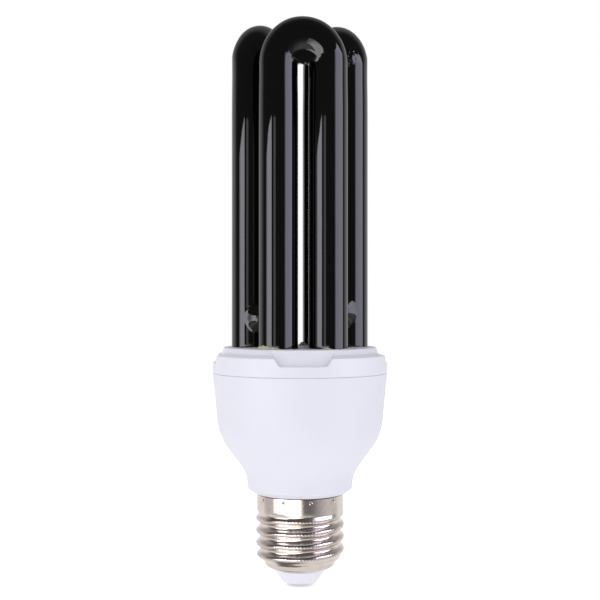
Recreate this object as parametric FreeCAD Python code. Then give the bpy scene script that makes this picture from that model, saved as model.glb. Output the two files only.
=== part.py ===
"""Black-light compact fluorescent lamp: black glass U-tubes on a ballast housing with an E27 screw cap.

Sizes are in millimetres and angles in degrees. The origin is the middle of the centre contact's face.
+Z runs up the lamp's axis to the tubes, and -Y is the front, where the first U-tube stands.
"""

import FreeCAD
import Part

import math
import os

from FreeCAD import Vector

# Glass discharge tube
TUBE_DIAMETER = 11.4
LEG_SPACING = 14.4
U_OFFSET = 12.76
TUBE_TURN = 2.0
FRONT_U_HEIGHT = 95.4
REAR_U_HEIGHT = 97.1
BEND_RISE = 13.9
CROTCH_RADIUS = 4.2
CROTCH_DROP = 0.2
LEG_DEPTH = 8.0
LEG_FOOT_ROUNDING = 2.5
BRIDGE_WAIST = 5.2
BRIDGE_FLARE = 8.4
BRIDGE_BITE = 1.2
LEFT_BRIDGE_HEIGHT = 8.8
RIGHT_BRIDGE_HEIGHT = 10.5
PINCH_WIDTH = 8.0
PINCH_THICKNESS = 2.2
PINCH_LENGTH = 2.2

# Cover that holds the tubes
COVER_DIAMETER = 51.8
COVER_HEIGHT = 7.6
COVER_PLATE = 1.8
LEDGE_WIDTH = 2.5
CROWN_TAPER = 0.8
CROWN_HEIGHT = 1.4
LEDGE_SLOPE_DROP = 0.9
EDGE_ROUNDING = 0.4
NOTCH_COUNT = 4
NOTCH_DEPTH = 4.4
NOTCH_FLOOR_WIDTH = 13.4
NOTCH_TOP_WIDTH = 17.0
NOTCH_ROOT_INSET = 1.7
NOTCH_ROUNDING = 0.9
SOCKET_CLEARANCE = 0.25
SOCKET_WALL = 1.2
SOCKET_DEPTH = 6.4
SPIGOT_WALL = 1.4
SPIGOT_CLEARANCE = 0.1
SNAP_BEAD = 0.5
SNAP_WIDTH_ANGLE = 30.0
CEMENT_GAP = 0.02
CEMENT_BEAD = 0.45

# Ballast housing
HOUSING_HEIGHT = 35.6
HOUSING_WALL = 1.5
SHOULDER_DIAMETER = 48.5
SHOULDER_HEIGHT = 17.3
SHOULDER_ROUNDING = 16.0
WAIST_DIAMETER = 31.9
WAIST_HEIGHT = 5.9
WAIST_ROUNDING = 8.0
NECK_DIAMETER = 31.0
NECK_BEVEL = 1.35
RIM_DIAMETER = 26.8
SEAM_BEVEL = 0.15
MOUTH_WALL = 1.8
BOARD_DEPTH = 7.5
BOARD_LEDGE = 1.6
NECK_SPIGOT_WALL = 1.6

# E27 screw cap
THREAD_DIAMETER = 26.2
THREAD_DEPTH = 1.1
THREAD_PITCH = 3.629
THREAD_CREST_LEVEL = 8.55
SHEET = 0.35
COLLAR_DIAMETER = 25.7
COLLAR_HEIGHT = 4.4
COLLAR_RUNOUT = 2.4
COLLAR_GAP = 0.3
SHELL_HEIGHT = 22.3
SHELL_LIP_DIAMETER = 15.6
SHELL_BASE_SLOPE = 2.6
SHELL_FOOT_DIAMETER = 21.4
SHELL_FOOT_HEIGHT = 2.4
SHELL_FOOT_TAPER = 0.3
SHELL_FLARE_SLOPE = 1.4
SHELL_BLEND = 0.5
CAP_CLEARANCE = 0.1
AROUND_POLE_COUNT = 24
UPWARD_POLE_COUNT = 64
STAKE_COUNT = 10
STAKE_TURN = 12.0
STAKE_RADIUS = 0.8
STAKE_DEPTH = 0.2
STAKE_DROP = 1.0
INSULATOR_HEIGHT = 4.0
INSULATOR_FOOT_DIAMETER = 9.8
INSULATOR_PLUG = 2.4
INSULATOR_ROUNDING = 0.5
CONTACT_DIAMETER = 7.2
CONTACT_RISE = 0.4
CONTACT_STEM_DIAMETER = 3.0
CONTACT_HEAD_DIAMETER = 5.0
CONTACT_HEAD_HEIGHT = 0.8

# Ballast board and its parts, with places as shares of the board's radius
BOARD_THICKNESS = 1.6
BOARD_CLEARANCE = 0.2
PIN_CLEARANCE = 0.05
PART_LIFT = 0.6
LEAD_DIAMETER = 0.7
WIRE_DIAMETER = 1.2
WIRE_BEND = 2.5
CAPACITOR_DIAMETER = 10.0
CAPACITOR_LENGTH = 16.5
CAPACITOR_CRIMP_DEPTH = 0.5
CAPACITOR_CRIMP_STEP = 0.65
CAPACITOR_PLACE = (0.15, -0.375)
CHOKE_PLACE = (-0.355, 0.0)
CORE_WIDTH = 13.0
CORE_DEPTH = 4.4
CORE_HEIGHT = 12.0
CORE_LIMB = 4.4
CORE_YOKE = 2.2
BOBBIN_WALL = 0.7
BOBBIN_FLANGE = 0.8
BOBBIN_DEPTH = 12.0
RAIL_WIDTH = 2.4
RAIL_REACH = 0.3
WINDING_THICKNESS = 1.3
TOROID_PLACE = (0.25, 0.23)
TOROID_OUTER = 9.6
TOROID_INNER = 5.2
TOROID_HEIGHT = 3.6
TOROID_LOOP_COUNT = 6
TOROID_WIRE = 0.5
TRANSISTOR_PLACES = ((0.635, -0.09), (0.635, 0.3))
TRANSISTOR_SIZE = (2.8, 7.8, 10.8)
TRANSISTOR_STANDOFF = 2.5
TRANSISTOR_HOLE = 3.1
TRANSISTOR_PIN_PITCH = 2.3
DIODE_PLACES = ((0.455, -0.36), (0.593, -0.36), (0.4, -0.56), (0.54, -0.56))
DIODE_SIZE = (2.6, 5.0)
RESISTOR_PLACES = ((-0.77, -0.3), (-0.77, -0.07), (-0.77, 0.16), (-0.77, 0.385))
RESISTOR_SIZE = (2.2, 5.6)
DIAC_PLACE = (0.795, 0.05)
DIAC_SIZE = (1.9, 3.8)
FUSE_PLACE = (0.787, -0.23)
FUSE_SIZE = (3.0, 7.0)
AXIAL_LEAD_PITCH = 2.5
FILM_PLACES = ((-0.375, 0.605), (-0.375, -0.605))
FILM_SIZE = (8.0, 4.0, 8.0)
RESONANT_PLACE = (0.125, 0.71)
RESONANT_SIZE = (10.0, 4.5, 9.0)
FILM_ROUNDING = 1.2
POST_SIDE = 0.8
POST_HEIGHT = 3.6
POST_INSET = 7.5
POST_SPREAD = 2.4
FILAMENT_LEAD_DIAMETER = 0.5
FILAMENT_LEAD_DROP = 0.9
FILAMENT_LEAD_BEND = 0.6
CONTACT_LEAD_PLACE = (-0.038, -0.15)
SHELL_LEAD_ANGLE = 100.0
SHELL_LEAD_CLEARANCE = 0.6

# Levels along the axis, from the contact's face up
INSULATOR_FOOT = CONTACT_RISE
SHELL_LIP = INSULATOR_FOOT + INSULATOR_HEIGHT
SHELL_FOOT_TOP = SHELL_LIP + SHELL_FOOT_HEIGHT
SHELL_TOP = SHELL_LIP + SHELL_HEIGHT
COLLAR_FOOT = SHELL_TOP - COLLAR_HEIGHT
HOUSING_FOOT = SHELL_TOP + COLLAR_GAP
SEAM = HOUSING_FOOT + HOUSING_HEIGHT
COVER_TOP = SEAM + COVER_HEIGHT
BOARD_SEAT = SEAM - BOARD_DEPTH
BOARD_TOP = BOARD_SEAT + BOARD_THICKNESS
CROWN_FOOT = COVER_TOP - CROWN_HEIGHT
SKIRT_TOP = CROWN_FOOT - LEDGE_SLOPE_DROP
NOTCH_FLOOR = COVER_TOP - NOTCH_DEPTH
LEG_FOOT = COVER_TOP - LEG_DEPTH
PINCH_FOOT = LEG_FOOT - PINCH_LENGTH

# Radii that several pieces share
TUBE_RADIUS = TUBE_DIAMETER / 2
SOCKET_BORE = TUBE_RADIUS + SOCKET_CLEARANCE
COVER_RADIUS = COVER_DIAMETER / 2
CROWN_FOOT_RADIUS = COVER_RADIUS - LEDGE_WIDTH
CROWN_RADIUS = CROWN_FOOT_RADIUS - CROWN_TAPER
MOUTH_RADIUS = COVER_RADIUS - MOUTH_WALL
BOARD_RADIUS = MOUTH_RADIUS - BOARD_CLEARANCE
SPIGOT_RADIUS = MOUTH_RADIUS - SPIGOT_CLEARANCE
SPIGOT_BORE = SPIGOT_RADIUS - SPIGOT_WALL
COLLAR_RADIUS = COLLAR_DIAMETER / 2
NECK_SPIGOT_RADIUS = COLLAR_RADIUS - SHEET - PIN_CLEARANCE
NECK_BORE = NECK_SPIGOT_RADIUS - NECK_SPIGOT_WALL
THREAD_ROOT = THREAD_DIAMETER / 2 - THREAD_DEPTH
LIP_RADIUS = SHELL_LIP_DIAMETER / 2
BASE_SHEET = SHEET * math.hypot(1, SHELL_BASE_SLOPE)

UP = Vector(0, 0, 1)

# Nearness within which an edge counts as lying on a surface
NEAR = 0.02
U_ANGLES = {"front": 0.0, "right": 120.0, "left": 240.0}


def rounded_wire(corners):
    """Closed wire in the XZ plane through corners (x, z) or (x, z, rounding)."""
    points = [Vector(c[0], 0, c[1]) for c in corners]
    roundings = [c[2] if len(c) > 2 else 0.0 for c in corners]
    arrivals, departures, arcs = [], [], []
    for i, corner in enumerate(points):
        back = (points[i - 1] - corner).normalize()
        ahead = (points[(i + 1) % len(points)] - corner).normalize()
        half = back.getAngle(ahead) / 2
        reach = roundings[i] / math.tan(half)
        arrivals.append(corner + back * reach)
        departures.append(corner + ahead * reach)
        bisector = (back + ahead).normalize() if roundings[i] else back
        arcs.append(corner + bisector * (roundings[i] / math.sin(half) - roundings[i]))
    edges = []
    for i in range(len(points)):
        if roundings[i]:
            edges.append(Part.Arc(arrivals[i], arcs[i], departures[i]).toShape())
        after = arrivals[(i + 1) % len(points)]
        if departures[i].distanceToPoint(after) > 1e-6:
            edges.append(Part.LineSegment(departures[i], after).toShape())
    return Part.Wire(edges)


def revolved(corners):
    """Solid of revolution about the lamp's axis, from a closed outline of (radius, height) corners."""
    return Part.Face(rounded_wire(corners)).revolve(Vector(), UP, 360)


def turned(shape, angle):
    """Copy of a shape, turned about the lamp's axis."""
    copy = shape.copy()
    copy.rotate(Vector(), UP, angle)
    return copy


def moved(shape, x, y, z=0.0):
    """Copy of a shape, moved."""
    copy = shape.copy()
    copy.translate(Vector(x, y, z))
    return copy


def box(width, depth, height, foot=0.0):
    """Block centred on the axis in X and Y, standing on the level foot."""
    return Part.makeBox(width, depth, height, Vector(-width / 2, -depth / 2, foot))


def wire_run(points, diameter, bend):
    """Round wire along points, with each corner bent to the same radius."""
    edges = []
    start = points[0]
    for i in range(1, len(points) - 1):
        back = (points[i - 1] - points[i]).normalize()
        ahead = (points[i + 1] - points[i]).normalize()
        half = back.getAngle(ahead) / 2
        arrival = points[i] + back * (bend / math.tan(half))
        departure = points[i] + ahead * (bend / math.tan(half))
        middle = points[i] + (back + ahead).normalize() * (bend / math.sin(half) - bend)
        edges.append(Part.LineSegment(start, arrival).toShape())
        edges.append(Part.Arc(arrival, middle, departure).toShape())
        start = departure
    edges.append(Part.LineSegment(start, points[-1]).toShape())
    circle = Part.Circle(points[0], points[1] - points[0], diameter / 2)
    section = Part.Wire(circle.toShape())
    return Part.Wire(edges).makePipeShell([section], True, False)


def leg_place(name, side):
    """Axis of one leg in plan. side is -1 or +1, the leg's end of its U."""
    angle = math.radians(U_ANGLES[name] + TUBE_TURN)
    x = side * LEG_SPACING / 2
    y = -U_OFFSET
    return Vector(x * math.cos(angle) - y * math.sin(angle), x * math.sin(angle) + y * math.cos(angle), 0)


LEGS = [(name, side) for name in U_ANGLES for side in (-1, 1)]
ELECTRODE_LEGS = [("right", 1), ("left", -1)]


def u_tube(name):
    """One U: two legs with rounded feet, a stretched half torus and the glass gathered in its crotch."""
    height = FRONT_U_HEIGHT if name == "front" else REAR_U_HEIGHT
    bend_level = COVER_TOP + height - BEND_RISE
    leg = revolved(
        [
            (0, LEG_FOOT),
            (TUBE_RADIUS, LEG_FOOT, LEG_FOOT_ROUNDING),
            (TUBE_RADIUS, bend_level),
            (0, bend_level),
        ]
    )
    section = Part.Face(Part.Wire(Part.Circle(Vector(LEG_SPACING / 2, 0, 0), UP, TUBE_RADIUS).toShape()))
    bend = section.revolve(Vector(), Vector(0, -1, 0), 180)
    stretch = FreeCAD.Matrix()
    stretch.A33 = BEND_RISE / (LEG_SPACING / 2 + TUBE_RADIUS)
    bend = moved(bend.transformGeometry(stretch), 0, 0, bend_level)
    crotch = Part.makeSphere(CROTCH_RADIUS, Vector(0, 0, bend_level + CROTCH_RADIUS - CROTCH_DROP))
    legs = [moved(leg, side * LEG_SPACING / 2, 0) for side in (-1, 1)]
    glass = bend.fuse(legs + [crotch])
    return turned(moved(glass, 0, -U_OFFSET), U_ANGLES[name] + TUBE_TURN)


def bridge(first, second, height):
    """Short waisted glass neck between two legs of neighbouring Us."""
    start, end = leg_place(*first), leg_place(*second)
    half = start.distanceToPoint(end) / 2
    mouth = half - TUBE_RADIUS + BRIDGE_BITE
    outline = [
        Part.LineSegment(Vector(-half, 0, 0), Vector(-half, 0, BRIDGE_FLARE / 2)),
        Part.LineSegment(Vector(-half, 0, BRIDGE_FLARE / 2), Vector(-mouth, 0, BRIDGE_FLARE / 2)),
        Part.Arc(
            Vector(-mouth, 0, BRIDGE_FLARE / 2),
            Vector(0, 0, BRIDGE_WAIST / 2),
            Vector(mouth, 0, BRIDGE_FLARE / 2),
        ),
        Part.LineSegment(Vector(mouth, 0, BRIDGE_FLARE / 2), Vector(half, 0, BRIDGE_FLARE / 2)),
        Part.LineSegment(Vector(half, 0, BRIDGE_FLARE / 2), Vector(half, 0, 0)),
        Part.LineSegment(Vector(half, 0, 0), Vector(-half, 0, 0)),
    ]
    spool = Part.Face(Part.Wire([e.toShape() for e in outline])).revolve(Vector(), Vector(1, 0, 0), 360)
    along = end - start
    spool = turned(spool, math.degrees(math.atan2(along.y, along.x)))
    middle = (start + end) * 0.5
    return moved(spool, middle.x, middle.y, COVER_TOP + height)


def pinch_seal(leg):
    """Flat pressed end of an electrode leg, set square to the lamp's radius."""
    place = leg_place(*leg)
    seal = box(PINCH_THICKNESS, PINCH_WIDTH, PINCH_LENGTH + LEG_FOOT_ROUNDING, PINCH_FOOT)
    return moved(turned(seal, math.degrees(math.atan2(place.y, place.x))), place.x, place.y)


def discharge_tube():
    """Three Us joined by two bridges into one sealed tube, with its two electrode ends pinched."""
    pieces = [u_tube(name) for name in U_ANGLES]
    pieces.append(bridge(("front", -1), ("left", 1), LEFT_BRIDGE_HEIGHT))
    pieces.append(bridge(("front", 1), ("right", -1), RIGHT_BRIDGE_HEIGHT))
    pieces += [pinch_seal(leg) for leg in ELECTRODE_LEGS]
    return pieces[0].fuse(pieces[1:]).removeSplitter()


def tube_cement():
    """Six rings of cement between the legs and their sockets, each with a small bead on the cover."""
    inner = TUBE_RADIUS + CEMENT_GAP
    outer = SOCKET_BORE - CEMENT_GAP
    foot = COVER_TOP - SOCKET_DEPTH
    rest = COVER_TOP + CEMENT_GAP
    ring = revolved(
        [
            (inner, foot),
            (outer, foot),
            (outer, rest),
            (inner + CEMENT_BEAD, rest),
            (inner, rest + CEMENT_BEAD),
        ]
    )
    places = [leg_place(*leg) for leg in LEGS]
    return Part.makeCompound([moved(ring, p.x, p.y) for p in places])


def notch_tool():
    """Cutter for one notch in the cover's skirt: a trapezium that stops at the crown's cone."""
    flare = (NOTCH_TOP_WIDTH - NOTCH_FLOOR_WIDTH) / 2 / (CROWN_FOOT - NOTCH_FLOOR)
    above = COVER_TOP + COVER_PLATE
    top = NOTCH_FLOOR_WIDTH / 2 + flare * (above - NOTCH_FLOOR)
    outline = rounded_wire(
        [
            (-NOTCH_FLOOR_WIDTH / 2, NOTCH_FLOOR, NOTCH_ROUNDING),
            (NOTCH_FLOOR_WIDTH / 2, NOTCH_FLOOR, NOTCH_ROUNDING),
            (top, above),
            (-top, above),
        ]
    )
    prism = Part.Face(outline).extrude(Vector(0, -COVER_DIAMETER, 0))
    root = COVER_RADIUS - NOTCH_ROOT_INSET
    fall = (root - CROWN_RADIUS) / NOTCH_DEPTH
    below = NOTCH_FLOOR - COVER_PLATE
    core = Part.makeCone(
        root + fall * COVER_PLATE,
        CROWN_RADIUS - fall * COVER_PLATE,
        above - below,
        Vector(0, 0, below),
    )
    return prism.cut(core)


def rim_edges(cover):
    """The cover's upper outer edges: the skirt's corner and the rims of the notches, across the ledge too."""
    chosen = []
    for edge in cover.Edges:
        span = edge.LastParameter - edge.FirstParameter
        points = [edge.valueAt(edge.FirstParameter + span * share) for share in (0.1, 0.5, 0.9)]
        reaches = [math.hypot(p.x, p.y) for p in points]
        levels = [p.z for p in points]
        on_skirt = min(reaches) > COVER_RADIUS - NEAR and min(levels) > NOTCH_FLOOR - NEAR
        on_ledge = min(levels) > SKIRT_TOP - NEAR and max(levels) < CROWN_FOOT + NEAR
        across = on_ledge and max(reaches) - min(reaches) > LEDGE_WIDTH / 4
        faces = cover.ancestorsOfType(edge, Part.Face)
        if (on_skirt or across) and len(faces) == 2:
            chosen.append(edge)
    return chosen


def snap_beads(radius, growth):
    """Short rounded beads round the cover's spigot, one below each notch."""
    level = (SEAM + BOARD_TOP) / 2
    circle = Part.Circle(Vector(radius, 0, level), Vector(0, 1, 0), SNAP_BEAD + growth)
    bead = Part.Face(Part.Wire(circle.toShape()))
    sweep = SNAP_WIDTH_ANGLE + 2 * math.degrees(growth / radius)
    ridge = turned(bead.revolve(Vector(), UP, sweep), -90 - sweep / 2)
    return [turned(ridge, k * 360 / NOTCH_COUNT) for k in range(NOTCH_COUNT)]


def tube_cover():
    """Moulded cover: skirt, sloping ledge, raised crown, six tube sockets and a spigot that snaps home."""
    plate = COVER_TOP - COVER_PLATE
    spigot_foot = BOARD_TOP + BOARD_CLEARANCE
    body = revolved(
        [
            (0, plate),
            (SPIGOT_BORE, plate, EDGE_ROUNDING),
            (SPIGOT_BORE, spigot_foot),
            (SPIGOT_RADIUS, spigot_foot),
            (SPIGOT_RADIUS, SEAM),
            (COVER_RADIUS - SEAM_BEVEL, SEAM),
            (COVER_RADIUS, SEAM + SEAM_BEVEL),
            (COVER_RADIUS, SKIRT_TOP),
            (CROWN_FOOT_RADIUS, CROWN_FOOT),
            (CROWN_RADIUS, COVER_TOP, EDGE_ROUNDING),
            (0, COVER_TOP),
        ]
    )
    pitch = 360 / NOTCH_COUNT
    notch = notch_tool()
    body = turned(body, pitch / 2).cut([turned(notch, k * pitch) for k in range(NOTCH_COUNT)])
    body = body.makeFillet(EDGE_ROUNDING, rim_edges(body))
    places = [leg_place(*leg) for leg in LEGS]
    socket_foot = COVER_TOP - SOCKET_DEPTH
    socket_height = SOCKET_DEPTH - COVER_PLATE / 2
    socket = Part.makeCylinder(SOCKET_BORE + SOCKET_WALL, socket_height, Vector(0, 0, socket_foot))
    bore_height = SOCKET_DEPTH + 2 * COVER_PLATE
    bore = Part.makeCylinder(SOCKET_BORE, bore_height, Vector(0, 0, socket_foot - COVER_PLATE))
    body = body.fuse([moved(socket, p.x, p.y) for p in places] + snap_beads(SPIGOT_RADIUS, 0))
    return body.cut([moved(bore, p.x, p.y) for p in places]).removeSplitter()


def ballast_housing():
    """Moulded bell: tapered side, rounded shoulder, cone and neck, a board ledge and a cap spigot."""
    shoulder = HOUSING_FOOT + SHOULDER_HEIGHT
    waist = HOUSING_FOOT + WAIST_HEIGHT
    neck = HOUSING_FOOT + NECK_BEVEL
    taper = (COVER_RADIUS - SHOULDER_DIAMETER / 2) / (SEAM - shoulder)
    side_at_ledge = COVER_RADIUS - taper * (SEAM - BOARD_SEAT + 2 * BOARD_LEDGE)
    outer = [
        (NECK_SPIGOT_RADIUS, COLLAR_FOOT + PIN_CLEARANCE),
        (NECK_SPIGOT_RADIUS, HOUSING_FOOT),
        (RIM_DIAMETER / 2, HOUSING_FOOT),
        (NECK_DIAMETER / 2, neck, EDGE_ROUNDING),
        (WAIST_DIAMETER / 2, waist, WAIST_ROUNDING),
        (SHOULDER_DIAMETER / 2, shoulder, SHOULDER_ROUNDING),
        (COVER_RADIUS, SEAM - SEAM_BEVEL),
        (COVER_RADIUS - SEAM_BEVEL, SEAM),
    ]
    inner = [
        (MOUTH_RADIUS, SEAM),
        (MOUTH_RADIUS, BOARD_SEAT),
        (MOUTH_RADIUS - BOARD_LEDGE, BOARD_SEAT),
        (MOUTH_RADIUS - BOARD_LEDGE, BOARD_SEAT - BOARD_LEDGE),
        (side_at_ledge - HOUSING_WALL, BOARD_SEAT - 2 * BOARD_LEDGE),
        (SHOULDER_DIAMETER / 2 - HOUSING_WALL, shoulder, SHOULDER_ROUNDING - HOUSING_WALL),
        (WAIST_DIAMETER / 2 - HOUSING_WALL, waist, WAIST_ROUNDING),
        (NECK_DIAMETER / 2 - HOUSING_WALL, neck + HOUSING_WALL),
        (NECK_BORE, HOUSING_FOOT),
        (NECK_BORE, COLLAR_FOOT + PIN_CLEARANCE),
    ]
    return revolved(outer + inner).cut(snap_beads(SPIGOT_RADIUS, SPIGOT_CLEARANCE)).removeSplitter()


def edison_wave(turns):
    """Height of the rolled thread above its middle radius: equal crest and root arcs, once a turn."""
    depth = THREAD_DEPTH / 2
    quarter = THREAD_PITCH / 4
    arc = (quarter**2 + depth**2) / (2 * depth)
    along = (turns - math.floor(turns)) * THREAD_PITCH
    if along > 3 * quarter:
        along -= THREAD_PITCH
    if along <= quarter:
        return math.sqrt(arc**2 - along**2) - (arc - depth)
    return (arc - depth) - math.sqrt(arc**2 - (along - 2 * quarter) ** 2)


def blended_least(first, second):
    """The lesser of two of the shell's radii, with a rounded corner between them."""
    return (first + second - math.hypot(first - second, SHELL_BLEND)) / 2


def shell_foot(level, skin):
    """Radius of the shell below its thread: a shallow base, a rounded corner, a short cup and its flare."""
    base = LIP_RADIUS + SHELL_BASE_SLOPE * (level - SHELL_LIP) - skin * BASE_SHEET
    slope = SHELL_FLARE_SLOPE if level > SHELL_FOOT_TOP else SHELL_FOOT_TAPER
    cup = SHELL_FOOT_DIAMETER / 2 + slope * (level - SHELL_FOOT_TOP) - skin * SHEET
    return blended_least(base, cup)


def shell_radius(level, turns, skin):
    """Radius of the screw shell's poles. skin is 0 for its outside and 1 for its inside."""
    middle = THREAD_ROOT + THREAD_DEPTH / 2
    step = SHELL_HEIGHT / (UPWARD_POLE_COUNT - 1)
    gain = 3 / (2 + math.cos(2 * math.pi * step / THREAD_PITCH))
    thread = middle + gain * edison_wave((level - THREAD_CREST_LEVEL) / THREAD_PITCH - turns + 0.5)
    share = min(1.0, max(0.0, (level - COLLAR_FOOT + COLLAR_RUNOUT) / COLLAR_RUNOUT))
    blend = share**2 * (3 - 2 * share)
    barrel = thread + (COLLAR_RADIUS - thread) * blend - skin * SHEET
    return blended_least(barrel, shell_foot(level, skin))


def shell_bore(level):
    """Tightest radius inside the screw shell at a level below its collar."""
    return blended_least(THREAD_ROOT - SHEET, shell_foot(level, 1))


def shell_skin(skin):
    """One side of the screw shell's sheet as a smooth face, from the lip up to the collar's rim."""
    around = AROUND_POLE_COUNT
    upward = UPWARD_POLE_COUNT
    spread = 3 / (2 + math.cos(2 * math.pi / around))
    levels = [SHELL_LIP + SHELL_HEIGHT * j / (upward - 1) for j in range(upward)]
    poles = []
    for i in range(around):
        angle = 2 * math.pi * i / around
        radii = [spread * shell_radius(level, i / around, skin) for level in levels]
        poles.append([Vector(r * math.cos(angle), r * math.sin(angle), z) for r, z in zip(radii, levels)])
    surface = Part.BSplineSurface()
    surface.buildFromPolesMultsKnots(
        poles,
        [1] * (around + 1),
        [4] + [1] * (upward - 4) + [4],
        list(range(around + 1)),
        list(range(upward - 2)),
        True,
        False,
        3,
        3,
    )
    return surface.toShape()


def rim_edge(face, level):
    """The face's closed edge at a level."""
    return next(e for e in face.Edges if abs(e.BoundBox.ZMin - level) + abs(e.BoundBox.ZMax - level) < 1e-4)


def screw_shell():
    """Rolled sheet-metal E27 shell with its helical thread, a plain staked collar and a cup-shaped foot."""
    outside, inside = shell_skin(0), shell_skin(1)
    faces = [outside, inside]
    for level in (SHELL_LIP, SHELL_TOP):
        faces.append(Part.makeRuledSurface(rim_edge(outside, level), rim_edge(inside, level)))
    skin = Part.Shell(faces)
    skin.sewShape()
    shell = Part.Solid(skin)
    if shell.Volume < 0:
        shell.reverse()
    reach = COLLAR_RADIUS + STAKE_RADIUS - STAKE_DEPTH
    stake = Part.makeSphere(STAKE_RADIUS, Vector(0, -reach, SHELL_TOP - STAKE_DROP))
    return shell.cut([turned(stake, STAKE_TURN + k * 360 / STAKE_COUNT) for k in range(STAKE_COUNT)])


def cap_insulator():
    """Moulded cone that closes the shell's lip from both sides and carries the centre contact."""
    seat = SHELL_LIP
    top = SHELL_LIP + INSULATOR_PLUG
    plug_foot = shell_bore(seat) - CAP_CLEARANCE
    plug_top = shell_bore(top) - CAP_CLEARANCE
    stem = CONTACT_STEM_DIAMETER / 2 + PIN_CLEARANCE
    return revolved(
        [
            (stem, INSULATOR_FOOT),
            (INSULATOR_FOOT_DIAMETER / 2, INSULATOR_FOOT, INSULATOR_ROUNDING),
            (LIP_RADIUS, seat),
            (plug_foot, seat),
            (plug_top, top),
            (stem, top),
        ]
    )


def centre_contact():
    """Riveted contact: a flat face below the insulator, a stem through it and a clenched head above."""
    stem = CONTACT_STEM_DIAMETER / 2
    head = SHELL_LIP + INSULATOR_PLUG
    return revolved(
        [
            (0, 0),
            (CONTACT_DIAMETER / 2, 0, CONTACT_RISE / 2),
            (CONTACT_DIAMETER / 2, INSULATOR_FOOT),
            (stem, INSULATOR_FOOT),
            (stem, head),
            (CONTACT_HEAD_DIAMETER / 2, head),
            (CONTACT_HEAD_DIAMETER / 2, head + CONTACT_HEAD_HEIGHT, CONTACT_HEAD_HEIGHT / 2),
            (0, head + CONTACT_HEAD_HEIGHT),
        ]
    )


def circuit_board():
    """Round board that lies on the housing's ledge under the cover's spigot."""
    return Part.makeCylinder(BOARD_RADIUS, BOARD_THICKNESS, Vector(0, 0, BOARD_SEAT))


def hung(shape, place):
    """A part built upwards from Z = 0, hung under the board at its share of the board's radius."""
    copy = shape.copy()
    copy.rotate(Vector(), Vector(1, 0, 0), 180)
    return moved(copy, place[0] * BOARD_RADIUS, place[1] * BOARD_RADIUS, BOARD_SEAT)


def smoothing_capacitor():
    """Electrolytic can with its crimped waist near the board."""
    radius = CAPACITOR_DIAMETER / 2
    step = CAPACITOR_CRIMP_STEP
    can = revolved(
        [
            (0, 0),
            (radius, 0, EDGE_ROUNDING),
            (radius, 2 * step),
            (radius - CAPACITOR_CRIMP_DEPTH, 3 * step),
            (radius, 4 * step),
            (radius, CAPACITOR_LENGTH, 2 * EDGE_ROUNDING),
            (0, CAPACITOR_LENGTH),
        ]
    )
    return hung(can, CAPACITOR_PLACE)


def choke_levels():
    """Heights of the choke above the board: the lower yoke's two faces and the upper yoke's two."""
    foot = RAIL_REACH
    return foot, foot + CORE_YOKE, foot + CORE_HEIGHT - CORE_YOKE, foot + CORE_HEIGHT


def choke_core():
    """Ferrite frame with a middle limb and two windows."""
    foot, window_foot, window_top, _ = choke_levels()
    frame = box(CORE_DEPTH, CORE_WIDTH, CORE_HEIGHT, foot)
    window = (CORE_WIDTH - CORE_LIMB) / 2 - CORE_YOKE
    gap = box(2 * CORE_DEPTH, window, window_top - window_foot, window_foot)
    offset = (CORE_LIMB + window) / 2
    return hung(frame.cut([moved(gap, 0, offset), moved(gap, 0, -offset)]), CHOKE_PLACE)


def bobbin_barrel():
    """Inside and outside of the bobbin's square barrel, along X and along Y."""
    inside = (CORE_DEPTH + 2 * PIN_CLEARANCE, CORE_LIMB + 2 * PIN_CLEARANCE)
    outside = (inside[0] + 2 * BOBBIN_WALL, inside[1] + 2 * BOBBIN_WALL)
    return inside, outside


def choke_bobbin():
    """Bobbin on the core's middle limb, standing on the board by a rail at each end."""
    _, window_foot, window_top, _ = choke_levels()
    inside, outside = bobbin_barrel()
    foot = window_foot + PIN_CLEARANCE
    height = window_top - window_foot - 2 * PIN_CLEARANCE
    window = (CORE_WIDTH - CORE_LIMB) / 2 - CORE_YOKE
    flange_width = CORE_LIMB + 2 * window - 2 * PIN_CLEARANCE
    flange = box(BOBBIN_DEPTH, flange_width, BOBBIN_FLANGE)
    body = box(outside[0], outside[1], height, foot)
    body = body.fuse([moved(flange, 0, 0, foot), moved(flange, 0, 0, foot + height - BOBBIN_FLANGE)])
    rail = box(RAIL_WIDTH, flange_width, foot + BOBBIN_FLANGE)
    offset = (BOBBIN_DEPTH - RAIL_WIDTH) / 2
    body = body.fuse([moved(rail, offset, 0), moved(rail, -offset, 0)])
    bore = box(inside[0], inside[1], 2 * CORE_HEIGHT)
    return hung(body.cut(bore).removeSplitter(), CHOKE_PLACE)


def choke_winding():
    """Copper winding that fills the bobbin between its flanges."""
    _, window_foot, window_top, _ = choke_levels()
    _, outside = bobbin_barrel()
    foot = window_foot + 2 * PIN_CLEARANCE + BOBBIN_FLANGE
    height = window_top - window_foot - 4 * PIN_CLEARANCE - 2 * BOBBIN_FLANGE
    barrel = (outside[0] + 2 * PIN_CLEARANCE, outside[1] + 2 * PIN_CLEARANCE)
    coil = box(barrel[0] + 2 * WINDING_THICKNESS, barrel[1] + 2 * WINDING_THICKNESS, height, foot)
    upright = [e for e in coil.Edges if abs(e.tangentAt(e.FirstParameter).z) > 0.9]
    coil = coil.makeFillet(WINDING_THICKNESS, upright)
    return hung(coil.cut(box(barrel[0], barrel[1], 2 * CORE_HEIGHT)), CHOKE_PLACE)


def toroid_levels():
    """Radius of a winding loop round the drive toroid's section, and the ring's middle level."""
    section = math.hypot((TOROID_OUTER - TOROID_INNER) / 4, TOROID_HEIGHT / 2)
    loop = section + TOROID_WIRE / 2 + PIN_CLEARANCE
    return loop, loop + TOROID_WIRE / 2


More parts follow.
